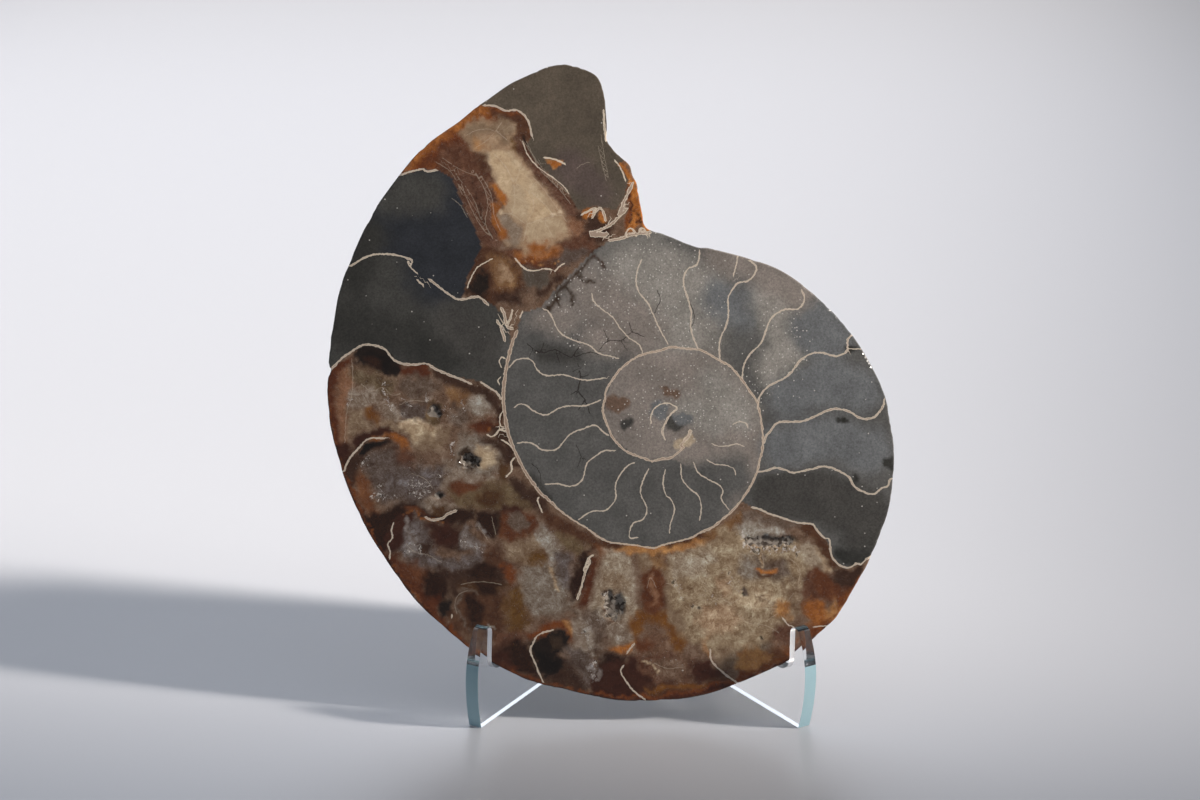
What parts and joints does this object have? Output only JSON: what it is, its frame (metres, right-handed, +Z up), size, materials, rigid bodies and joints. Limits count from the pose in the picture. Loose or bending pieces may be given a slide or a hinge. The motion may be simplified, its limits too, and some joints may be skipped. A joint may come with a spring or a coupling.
{
  "type": "ammonite fossil half on stand",
  "caption": "Sawn and polished ammonite half with a flat face and domed back, leaning on a folded clear acrylic easel.",
  "frame": {"origin": "middle of the object's box, on the surface that it stands on", "axes": "+Z up, the polished face looks towards -Y and leans back towards +Y, +X to the viewer's right"},
  "size_m": [0.1248, 0.0602, 0.1381],
  "materials": {
    "fossil": "polished calcite and sediment, cut flat, with a glossy amber-brown shell behind",
    "acrylic": "clear acrylic sheet with polished faces and pale turquoise cut edges"
  },
  "bodies": {
    "root": {"ammonite_half": "fossil", "stand": "acrylic"}
  },
  "joints": []
}
